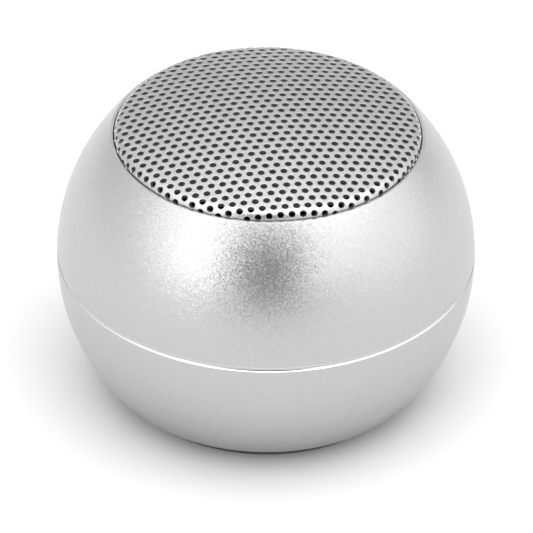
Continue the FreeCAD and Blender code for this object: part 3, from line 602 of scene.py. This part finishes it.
def bar_outline(width, height, steps=16):
    """An outline with round ends, as (across, up) points about its middle."""
    half, end = (width - height) / 2, height / 2
    right = arc(half, 0, end, -90, 90, steps)
    left = arc(-half, 0, end, 90, 270, steps)
    return right + left


def punch(name, outline, middle_across, middle_up, start, end):
    """A straight cutter through the back wall."""
    count = len(outline)
    near = [(middle_across + a, start, middle_up + u) for a, u in outline]
    far = [(middle_across + a, end, middle_up + u) for a, u in outline]
    sides = [(n, (n + 1) % count, (n + 1) % count + count, n + count) for n in range(count)]
    mesh = bpy.data.meshes.new(name)
    ends = [tuple(range(count)), tuple(range(2 * count - 1, count - 1, -1))]
    mesh.from_pydata(near + far, [], sides + ends)
    finish_mesh(mesh, 30)
    cutter = bpy.data.objects.new(name, mesh)
    scene.collection.objects.link(cutter)
    return cutter


def cut_with(piece, cutters):
    """Take the cutters away from the piece, then remove them."""
    for cutter in cutters:
        change = piece.modifiers.new("cut", "BOOLEAN")
        change.object = cutter
        change.operation = "DIFFERENCE"
        change.solver = "EXACT"
    bpy.context.view_layer.update()
    shaped = bpy.data.meshes.new_from_object(piece.evaluated_get(bpy.context.evaluated_depsgraph_get()))
    piece.modifiers.clear()
    piece.data = shaped
    for cutter in cutters:
        bpy.data.objects.remove(cutter)
    shaped.polygons.foreach_set("use_smooth", [True] * len(shaped.polygons))
    shaped.set_sharp_from_angle(angle=math.radians(28))


bezel_low, bezel_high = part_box("port_bezel")
light_low, light_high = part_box("light_pipe")
boot_low, boot_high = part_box("mic_boot")
port_middle = (bezel_low + bezel_high) / 2
light_middle = (light_low + light_high) / 2
boot_middle = (boot_low + boot_high) / 2
fit_gap = 0.03 * MM
port_size = (bezel_high.x - bezel_low.x + fit_gap * 2, bezel_high.z - bezel_low.z + fit_gap * 2)
light_radius = (light_high.x - light_low.x) / 2 + fit_gap
mic_radius = 0.4 * MM
back_start, back_end = bezel_low.y, ball_radius * 1.1
cutters = [
    punch("port_punch", bar_outline(*port_size), 0, port_middle.z, back_start, back_end),
    punch("light_punch", arc(0, 0, light_radius, 0, 345, 23), light_middle.x, light_middle.z,
          back_start - 2 * MM, back_end),
    punch("mic_punch", arc(0, 0, mic_radius, 0, 345, 23), boot_middle.x, boot_middle.z,
          back_start - 2 * MM, back_end),
]
cut_with(lower_shell, cutters)
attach(lower_shell, "housing")
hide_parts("lower_shell")
print("lower shell faces after the cuts", len(lower_shell.data.polygons))

# %% [markdown]
# ## The punched grille
# The grille starts as a flat sheet, punched with round holes in a six-sided pattern, and is then pressed to a
# shallow dome with its edge rolled down. So the mesh is made the same way: a flat honeycomb of cells, each with
# one hole, is laid on the dome's outline by distance along the sheet. The holes stay round on the dome and
# follow the rolled edge, as on the real part, and each has the softly rounded lip that a punch leaves. A boolean
# cut with hundreds of punches would be slow and leave long thin faces.

# %% Dome, rolled edge and skirt
dome_radius = 78.0 * MM
sheet = 0.5 * MM
roll = 1.2 * MM
hole_pitch = 1.33 * MM
hole_radius = 0.4 * MM
row_angle = math.radians(8.5)
row_shift = (0.24 * MM, 0.39 * MM)
grille_radius = grille_high.x
dome_middle = grille_high.z - dome_radius
roll_out = grille_radius - roll
roll_up = dome_middle + math.sqrt((dome_radius - roll) ** 2 - roll_out ** 2)
roll_start = math.asin(roll_out / (dome_radius - roll))
dome_reach = dome_radius * roll_start
roll_reach = dome_reach + roll * (math.pi / 2 - roll_start)
skirt_reach = roll_reach + roll_up - grille_low.z


def on_sheet(across, along, depth):
    """Where a point of the flat sheet comes to lie, at a depth under its outer face."""
    reach = math.hypot(across, along)
    if reach < 1e-9:
        return (0, 0, dome_middle + dome_radius - depth)
    if reach <= dome_reach:
        lean = reach / dome_radius
        out = (dome_radius - depth) * math.sin(lean)
        up = dome_middle + (dome_radius - depth) * math.cos(lean)
    elif reach <= roll_reach:
        lean = roll_start + (reach - dome_reach) / roll
        out = roll_out + (roll - depth) * math.sin(lean)
        up = roll_up + (roll - depth) * math.cos(lean)
    else:
        out = grille_radius - depth
        up = roll_up - (reach - roll_reach)
    return (across / reach * out, along / reach * out, up)


print("sheet reach in mm: dome", round(dome_reach / MM, 2), "roll", round(roll_reach / MM, 2),
      "skirt", round(skirt_reach / MM, 2))

# %% [markdown]
# ## The pattern of the holes
# Each hole sits in a cell with six sides, and the cells join edge to edge with no gaps. The rings of points
# round a hole step down from the flat, over the small lip, to the wall. The whole pattern is turned and shifted
# a little, because a disc is cut from punched sheet without regard to its rows.

# %% Honeycomb cells


def cell_middles(limit):
    """The middles of the honeycomb's cells within a reach of the sheet's middle."""
    rise = hole_pitch * math.sqrt(3) / 2
    rows = int(limit / rise) + 2
    middles = []
    for row in range(-rows, rows + 1):
        for step in range(-2 * rows, 2 * rows + 1):
            across, along = (step + row / 2) * hole_pitch, row * rise
            if math.hypot(*laid_out(across, along)) <= limit:
                middles.append((across, along))
    return middles


def laid_out(across, along):
    """Turn and shift the honeycomb to the way that this sheet was punched."""
    turn_cos, turn_sin = math.cos(row_angle), math.sin(row_angle)
    return (across * turn_cos - along * turn_sin + row_shift[0],
            across * turn_sin + along * turn_cos + row_shift[1])


sides_per_edge = 4
# faces past this ring, down the torn wall and under the sheet, take the torn finish, painted dark as shade
wall_ring = 5
cell_rings = (
    # radius and depth of each ring of points round a hole, from the flat down the punched wall
    (hole_radius + 0.12 * MM, 0.0),
    (hole_radius + 0.05 * MM, 0.0),
    (hole_radius + 0.022 * MM, 0.006 * MM),
    (hole_radius + 0.005 * MM, 0.024 * MM),
    (hole_radius, 0.05 * MM),
    (hole_radius, 0.16 * MM),
    (hole_radius, sheet),
)


def cell_edge(number):
    """A point on the cell's six-sided edge, about its middle."""
    corner, part = divmod(number, sides_per_edge)
    outer = hole_pitch / math.sqrt(3)
    first = math.radians(30 + 60 * corner)
    last = math.radians(90 + 60 * corner)
    share = part / sides_per_edge
    across = outer * (math.cos(first) * (1 - share) + math.cos(last) * share)
    along = outer * (math.sin(first) * (1 - share) + math.sin(last) * share)
    return across, along


field_reach = skirt_reach - 0.85 * MM
print("cells within reach", len(cell_middles(field_reach)))

# %% [markdown]
# ## Pressing the sheet
# The cells are laid out flat and every point is then moved to its place on the dome, the rolled edge or the
# skirt. Neighbouring cells look up the points on their shared edges by rounded place. Where the rounding falls
# either side of a step, the two points stay apart, though they lie in the same spot to a few thousandths of a
# millimetre. The mesh is also open along its outer edge, between the sheet's two faces. A turned hem makes the
# plain part of the skirt and overlaps that edge, which the rim hides.

# %% Press the punched sheet


def press_grille():
    """The whole punched, domed and rolled sheet, open along its outer edge."""
    count = 6 * sides_per_edge
    edge = [cell_edge(n) for n in range(count)]
    directions = [(a / math.hypot(a, b), b / math.hypot(a, b)) for a, b in edge]
    points, faces, shared, on_wall = [], [], {}, []

    def lay(across, along, depth, weld):
        """A point of the turned sheet. Most points on cell edges are shared by neighbours."""
        key = (round(across / MM, 3), round(along / MM, 3), depth)
        if weld and key in shared:
            return shared[key]
        points.append(on_sheet(*laid_out(across, along), depth))
        if weld:
            shared[key] = len(points) - 1
        return len(points) - 1

    for across, along in cell_middles(field_reach):
        rings = [[lay(across + a, along + b, 0.0, True) for a, b in edge]]
        for radius, depth in cell_rings:
            rings.append([lay(across + a * radius, along + b * radius, depth, False) for a, b in directions])
        rings.append([lay(across + a, along + b, sheet, True) for a, b in edge])
        for number, (ring, following) in enumerate(zip(rings, rings[1:])):
            for n in range(count):
                after = (n + 1) % count
                faces.append((ring[n], ring[after], following[after], following[n]))
                on_wall.append(number > wall_ring)
    mesh = bpy.data.meshes.new("punched_grille")
    mesh.from_pydata(points, [], faces)
    mesh.polygons.foreach_set("material_index", [int(wall) for wall in on_wall])
    finish_mesh(mesh, 50)
    return mesh


grille = bpy.data.objects.new("punched_grille", press_grille())
scene.collection.objects.link(grille)
grille.data.materials.append(grille_metal)
# the second finish paints shade on the lower hole walls and the sheet's underside
grille.data.materials.append(punched_wall_painted_shade)
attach(grille, "housing")
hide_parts("speaker_grille")
print("grille faces", len(grille.data.polygons), "holes", len(cell_middles(field_reach)))

hem_top = grille_low.z + 1.1 * MM
hem_inner = grille_radius - sheet - 0.01 * MM
hem_outline = [(hem_inner, grille_low.z), (grille_radius, grille_low.z),
               (grille_radius, hem_top), (hem_inner, hem_top)]
hem = turned("grille_hem", hem_outline, 192)
hem.data.materials.append(grille_metal)
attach(hem, "housing")
print("hem height in mm", round((hem_top - grille_low.z) / MM, 2))

# %% [markdown]
# ## Finishes for moulded, soft and woven pieces
# Moulded plastic takes its skin from a spark-eroded mould, a fine even roughness over a slightly uneven
# colour. Rubber has a softer, broader skin and gathers a little dust. Cloth is two sets of threads that pass
# over and under each other, made from two crossed wave fields. Foam is cut through its bubbles, so its face is a
# field of cells.

# %% Moulded, rubber, woven, fibrous and foamed finishes


def tint(colour, factor):
    """A colour made lighter or darker."""
    return tuple(min(1.0, part * factor) for part in colour)


def moulded(name, colour, roughness=0.5):
    """Spark-eroded moulded plastic."""
    finish = Finish(name)
    finish.shade(finish.spread(finish.noise(0.6, 3), 0, 1), tint(colour, 0.88), tint(colour, 1.12))
    skin = finish.noise(7, 3, 0.6)
    finish.join(finish.spread(skin, roughness - 0.06, roughness + 0.08), finish.shader.inputs["Roughness"])
    finish.bump(skin, 0.012)
    return finish.material


def rubbery(name, colour, roughness=0.62):
    """Matte rubber with a soft broad skin and a little dust."""
    finish = Finish(name).set(Sheen_Weight=0.15, Sheen_Roughness=0.5, Specular_IOR_Level=0.35)
    dust = finish.noise(1.4, 5, 0.65)
    finish.shade(finish.spread(dust, 0, 1, 0.35, 0.8), tint(colour, 0.85), tint(colour, 1.5))
    finish.join(finish.spread(dust, roughness - 0.05, roughness + 0.1), finish.shader.inputs["Roughness"])
    finish.bump(finish.noise(4, 4, 0.6), 0.02)
    return finish.material


def woven(name, colour, threads_per_mm, gloss=0.75):
    """Two crossed sets of threads."""
    finish = Finish(name).set(Sheen_Weight=0.2, Sheen_Roughness=0.45, Roughness=gloss)
    sets = []
    for direction in ("X", "Y"):
        wave = finish.add("ShaderNodeTexWave", wave_type="BANDS", bands_direction=direction)
        wave.inputs["Scale"].default_value = threads_per_mm / MM / math.pi
        wave.inputs["Distortion"].default_value = 0.4
        finish.join(finish.place, wave.inputs["Vector"])
        sets.append(wave.outputs["Fac"])
    over = finish.add("ShaderNodeMath", operation="MAXIMUM")
    finish.join(sets[0], over.inputs[0])
    finish.join(sets[1], over.inputs[1])
    finish.shade(over.outputs[0], tint(colour, 0.35), tint(colour, 1.4))
    finish.bump(over.outputs[0], 0.04)
    return finish.material


def fibrous(name, colour, roughness=0.8):
    """Pressed paper or fibre board, with short fibres lying every way."""
    finish = Finish(name)
    fibres = finish.noise(5, 6, 0.75, stretch=(1, 0.35, 1))
    finish.shade(finish.spread(fibres, 0, 1), tint(colour, 0.7), tint(colour, 1.3))
    finish.join(finish.spread(fibres, roughness - 0.08, roughness + 0.08), finish.shader.inputs["Roughness"])
    finish.bump(fibres, 0.03)
    return finish.material


def foamed(name, colour):
    """Closed-cell foam, cut through its bubbles."""
    finish = Finish(name).set(Roughness=0.9)
    cells = finish.add("ShaderNodeTexVoronoi", feature="SMOOTH_F1")
    cells.inputs["Scale"].default_value = 3.5 / MM
    finish.join(finish.place, cells.inputs["Vector"])
    finish.shade(cells.outputs["Distance"], tint(colour, 0.6), tint(colour, 1.5))
    finish.bump(cells.outputs["Distance"], 0.06)
    return finish.material


print("soft finishes ready")

# %% [markdown]
# ## Finishes for metals, glass-like and wound pieces
# Plated steel keeps the faint drawing lines of the sheet under its bright skin. Pouch foil is soft and full of
# shallow creases. Windings are single wires side by side, so their lines run round the coil. Glazed and clear
# pieces are smooth, with only a slow waviness, and the clear pin has a frosted end that spreads the light.

# %% Plated, creased, wound, glazed and clear finishes


def plated(name, colour, roughness=0.3, metallic=1.0):
    """Bright or painted metal over faint drawing lines."""
    finish = Finish(name).set(Metallic=metallic)
    lines = finish.noise(3, 3, 0.5, stretch=(0.15, 4, 1))
    finish.shade(finish.spread(lines, 0, 1), tint(colour, 0.9), tint(colour, 1.08))
    finish.join(finish.spread(finish.noise(1.5, 4), roughness - 0.07, roughness + 0.09),
                finish.shader.inputs["Roughness"])
    finish.bump(lines, 0.004)
    return finish.material


def creased(name, colour):
    """Aluminium pouch foil with shallow creases."""
    finish = Finish(name).set(Metallic=0.9)
    creases = finish.add("ShaderNodeTexVoronoi", feature="DISTANCE_TO_EDGE")
    creases.inputs["Scale"].default_value = 0.35 / MM
    finish.join(finish.place, creases.inputs["Vector"])
    finish.shade(finish.spread(finish.noise(0.5, 4), 0, 1), tint(colour, 0.92), tint(colour, 1.05))
    finish.join(finish.spread(finish.noise(2, 3), 0.3, 0.42), finish.shader.inputs["Roughness"])
    finish.bump(creases.outputs["Distance"], 0.05)
    return finish.material


def wound(name, colour, wires_per_mm):
    """Enamelled wire, laid side by side up the coil."""
    finish = Finish(name).set(Metallic=0.9, Coat_Weight=0.6, Coat_Roughness=0.15)
    wires = finish.add("ShaderNodeTexWave", wave_type="BANDS", bands_direction="Z")
    wires.inputs["Scale"].default_value = wires_per_mm / MM / math.pi
    finish.join(finish.place, wires.inputs["Vector"])
    finish.shade(wires.outputs["Fac"], tint(colour, 0.5), tint(colour, 1.2))
    finish.join(finish.spread(finish.noise(4, 2), 0.25, 0.35), finish.shader.inputs["Roughness"])
    finish.bump(wires.outputs["Fac"], 0.03)
    return finish.material


def glazed(name, colour, roughness=0.18):
    """Ceramic or epoxy with a slow waviness."""
    finish = Finish(name).set(Coat_Weight=0.3, Coat_Roughness=0.1)
    slow = finish.noise(1.2, 3)
    finish.shade(finish.spread(slow, 0, 1), tint(colour, 0.94), tint(colour, 1.04))
    finish.join(finish.spread(slow, roughness - 0.04, roughness + 0.08), finish.shader.inputs["Roughness"])
    finish.bump(slow, 0.008)
    return finish.material


def clear(name, colour):
    """Clear plastic with a frosted end."""
    finish = Finish(name).set(Transmission_Weight=0.7, IOR=1.49)
    frost = finish.noise(12, 3, 0.6)
    finish.shade(finish.spread(frost, 0, 1), tint(colour, 0.9), colour)
    finish.join(finish.spread(frost, 0.3, 0.5), finish.shader.inputs["Roughness"])
    finish.bump(frost, 0.01)
    return finish.material


def masked_board(name, colour):
    """Solder mask over copper tracks, which show as slightly raised, lighter lanes."""
    finish = Finish(name).set(Coat_Weight=0.25, Coat_Roughness=0.2)
    tracks = finish.add("ShaderNodeTexBrick")
    tracks.inputs["Scale"].default_value = 0.45 / MM
    tracks.inputs["Mortar Size"].default_value = 0.06
    finish.join(finish.place, tracks.inputs["Vector"])
    finish.shade(tracks.outputs["Fac"], colour, tint(colour, 1.7))
    finish.join(finish.spread(finish.noise(2, 3), 0.32, 0.44), finish.shader.inputs["Roughness"])
    finish.bump(tracks.outputs["Fac"], 0.02)
    return finish.material


print("hard finishes ready")

# %% [markdown]
# ## A finish for every material
# The engineering record names one material for each piece. Each material gets one finish here, and every piece
# that isn't made again below takes the finish of its material, so nothing inside the speaker is left bare.

# %% Dress every engineering piece
finishes = {
    "shell_aluminium": shell_metal,
    "grille_aluminium": grille_metal,
    "acoustic_cloth": woven("acoustic_cloth", (0.035, 0.035, 0.037), 7),
    "grey_moulding": moulded("grey_moulding", (0.36, 0.36, 0.37), 0.48),
    "black_moulding": moulded("black_moulding", (0.03, 0.03, 0.032), 0.45),
    "foot_rubber": rubbery("foot_rubber", (0.06, 0.06, 0.062)),
    "screw_steel": plated("screw_steel", (0.52, 0.52, 0.54), 0.32),
    "socket_steel": plated("socket_steel", (0.66, 0.66, 0.67), 0.22),
    "tongue_plastic": moulded("tongue_plastic", (0.025, 0.025, 0.027), 0.38),
    "clear_plastic": clear("clear_plastic", (0.85, 0.87, 0.9)),
    "board_laminate": masked_board("board_laminate", (0.012, 0.11, 0.045)),
    "chip_epoxy": moulded("chip_epoxy", (0.025, 0.025, 0.027), 0.55),
    "passive_ceramic": glazed("passive_ceramic", (0.4, 0.29, 0.18), 0.35),
    "ferrite": moulded("ferrite", (0.09, 0.09, 0.095), 0.6),
    "can_metal": plated("can_metal", (0.7, 0.69, 0.66), 0.24),
    "white_ceramic": glazed("white_ceramic", (0.78, 0.78, 0.75)),
    "header_nylon": moulded("header_nylon", (0.78, 0.75, 0.68), 0.42),
    "light_epoxy": glazed("light_epoxy", (0.82, 0.78, 0.5), 0.15),
    "spring_steel": plated("spring_steel", (0.72, 0.71, 0.68), 0.18),
    "cell_foil": creased("cell_foil", (0.68, 0.69, 0.71)),
    "grey_foam": foamed("grey_foam", (0.11, 0.11, 0.115)),
    "basket_steel": plated("basket_steel", (0.045, 0.045, 0.047), 0.42, 0.2),
    "soft_iron": plated("soft_iron", (0.5, 0.5, 0.48), 0.36),
    "magnet_nickel": plated("magnet_nickel", (0.66, 0.65, 0.62), 0.14),
    "former_paper": fibrous("former_paper", (0.5, 0.36, 0.2)),
    "winding_copper": wound("winding_copper", (0.62, 0.27, 0.1), 12),
    "cone_paper": fibrous("cone_paper", (0.045, 0.045, 0.048)),
    "surround_rubber": rubbery("surround_rubber", (0.025, 0.025, 0.026), 0.45),
    "spider_cloth": woven("spider_cloth", (0.5, 0.37, 0.15), 4),
    "fibre_board": fibrous("fibre_board", (0.28, 0.18, 0.09), 0.7),
    "lead_red": rubbery("lead_red", (0.42, 0.015, 0.015), 0.42),
    "lead_black": rubbery("lead_black", (0.02, 0.02, 0.021), 0.42),
}
slot_of = {row["node"]: row["material_slot"] for row in frame["record"]["subparts"]}


def dress(piece, slot):
    """Put the finish of a material on a piece."""
    if piece.material_slots:
        for place in piece.material_slots:
            place.material = finishes[slot]
    else:
        piece.data.materials.append(finishes[slot])


for node, piece in frame["nodes"].items():
    dress(piece, slot_of[node])
print("pieces dressed:", len(frame["nodes"]), "with", len(finishes), "finishes")

# %% [markdown]
# ## Rubber foot and power button
# The foot is a square-edged ring of rubber with small roundings, stuck under the base. The button stands in the
# middle of the base plate. A fingertip finds the button by its shallow dish, and its rim is eased so that it never catches in
# the bore. Both are turned outlines.

# %% Turn the foot and the button
foot_inner = 13.4 * MM
foot_outer = foot_high.x
foot_ease = 0.35 * MM
foot_outline = [(foot_inner, foot_low.z), (foot_outer, foot_low.z),
                (foot_outer, foot_high.z), (foot_inner, foot_high.z)]
foot_roundings = {0: foot_ease, 1: foot_ease, 2: 0.05 * MM, 3: 0.05 * MM}
foot = turned("foot_turned", eased(foot_outline, foot_roundings, 8), 256)
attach(foot, "housing")
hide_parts("foot_ring")
dress(foot, "foot_rubber")

button_low, button_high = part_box("power_button")
button_radius = 4.5 * MM
flange_radius = button_high.x
stem_radius = 1.5 * MM
flange_foot, flange_top = 4.0 * MM, 4.6 * MM
dish_depth, dish_reach = 0.25 * MM, 3.7 * MM


def button_outline():
    """Dished face, eased rim, bore side, flange and stem, from the middle of the face round to the axis."""
    dish = []
    for step in range(13):
        share = step / 12
        dish.append((dish_reach * share, button_low.z + dish_depth * (1 - share ** 2) ** 2))
    body = [(button_radius, button_low.z), (button_radius, flange_foot), (flange_radius, flange_foot),
            (flange_radius, flange_top), (stem_radius, flange_top), (stem_radius, button_high.z),
            (0, button_high.z)]
    rim = len(dish)
    return eased(dish + body, {rim: 0.3 * MM, rim + 2: 0.08 * MM, rim + 3: 0.08 * MM, rim + 5: 0.1 * MM}, 8)


button = turned("button_turned", button_outline(), 160)
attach(button, "button")
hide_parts("power_button")
dress(button, "grey_moulding")
print("foot and button turned, dish depth in mm", dish_depth * 1000)

# %% [markdown]
# ## Screws under the base
# Three small screws hold the base from below. Their recesses lie above the rubber foot, which is stuck on last
# and covers all but the outer edge of each. Each has a rounded pan head with a cross recess, which a boolean cut
# makes from two crossed, tapering wings.

# %% Screw heads with cross recesses
screw_low, screw_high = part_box("base_screws")
screw_circle = 16.8 * MM
screw_radius = 1.15 * MM
shank_radius = 0.65 * MM
head_height = 0.72 * MM


def screw_outline():
    """Pan head below, shank above."""
    crown = [(0, screw_low.z + 0.03 * MM), (screw_radius * 0.55, screw_low.z + 0.06 * MM),
             (screw_radius * 0.86, screw_low.z + 0.16 * MM), (screw_radius, screw_low.z + 0.36 * MM)]
    top = screw_low.z + head_height
    return crown + [(screw_radius, top), (shank_radius, top), (shank_radius, screw_high.z - 0.4 * MM),
                    (0, screw_high.z)]


def cross_wing(name, x, y, turn):
    """One tapering wing of the cross, as a cutter that starts below the head."""
    mesh = bpy.data.meshes.new(name)
    work = bmesh.new()
    bmesh.ops.create_cone(work, cap_ends=True, segments=4, radius1=0.9 * MM, radius2=0.45 * MM, depth=0.7 * MM)
    bmesh.ops.rotate(work, verts=work.verts, cent=(0, 0, 0), matrix=Matrix.Rotation(math.radians(45), 3, "Z"))
    bmesh.ops.scale(work, verts=work.verts, vec=(1, 0.28, 1))
    bmesh.ops.rotate(work, verts=work.verts, cent=(0, 0, 0), matrix=Matrix.Rotation(math.radians(turn), 3, "Z"))
    bmesh.ops.translate(work, verts=work.verts, vec=(x, y, screw_low.z + 0.1 * MM))
    work.to_mesh(mesh)
    work.free()
    cutter = bpy.data.objects.new(name, mesh)
    scene.collection.objects.link(cutter)
    return cutter


for number, side in enumerate((30, 150, 270), start=1):
    x, y = screw_circle * math.cos(math.radians(side)), screw_circle * math.sin(math.radians(side))
    screw = turned(f"base_screw_{number}", screw_outline(), 48)
    screw.data.transform(Matrix.Translation((x, y, 0)))
    cut_with(screw, [cross_wing(f"wing_{number}_{turn}", x, y, 37 * number + turn) for turn in (0, 90)])
    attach(screw, "housing")
    screw.data.materials.clear()
    dress(screw, "screw_steel")
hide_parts("base_screws")

# %% [markdown]
# ## Pieces that flex
# The rubber roll and the cloth spider hold the cone: their outer edges stay with the basket and their inner
# edges ride with the cone, so each bends a little with every beat. The steel dome under the button flattens
# when it is pressed and springs back. Each is given its own mesh here, copied from the engineering piece and
# left unbent.

# %% Flexing pieces


def own_copy(node, name):
    """A mesh of its own for a flexing piece, on the same surface as the engineering piece."""
    source = frame["nodes"][node]
    piece = bpy.data.objects.new(name, source.data.copy())
    piece.matrix_world = source.matrix_world.copy()
    scene.collection.objects.link(piece)
    return piece


def flex_by_reach(piece):
    """Bake the piece's placement into its own mesh. Nothing here bends it."""
    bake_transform(piece)


surround = own_copy("cone_surround", "surround_roll")
flex_by_reach(surround)
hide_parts("cone_surround")

spider = own_copy("cone_spider", "spider_disc")
flex_by_reach(spider)
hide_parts("cone_spider")

dome = own_copy("switch_dome", "dome_spring")
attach(dome, "housing")
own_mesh(dome)
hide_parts("switch_dome")
print("flexing pieces:", surround.name, spider.name, dome.name)
